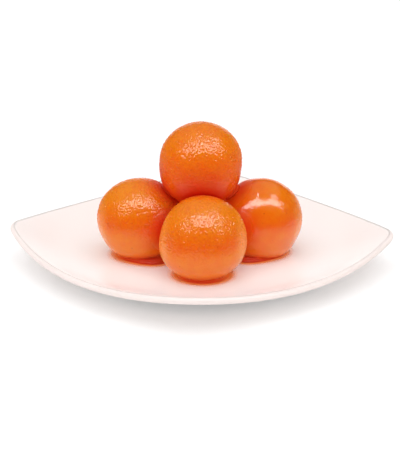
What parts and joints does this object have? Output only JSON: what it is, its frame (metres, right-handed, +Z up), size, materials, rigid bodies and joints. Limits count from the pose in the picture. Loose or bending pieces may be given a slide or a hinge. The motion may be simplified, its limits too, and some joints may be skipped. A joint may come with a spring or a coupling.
{
  "type": "gulab jamun on a plate",
  "caption": "A pile of soft orange soaked dough balls, four with one on top, on a square white plate with upswept corners, each lower ball sitting in a little syrup.",
  "frame": {"origin": "on the table under the middle of the plate", "axes": "+Z up, the front of the pile towards -Y, the plate's corners on the X and Y axes"},
  "size_m": [0.2, 0.2, 0.0769],
  "materials": {
    "plate_glaze": "gloss",
    "soaked_crust": "gloss",
    "syrup": "gloss"
  },
  "bodies": {
    "root": {"plate": "plate_glaze", "jamun_front": "soaked_crust", "jamun_left": "soaked_crust", "jamun_right": "soaked_crust", "jamun_back": "soaked_crust", "jamun_top": "soaked_crust"}
  },
  "joints": []
}
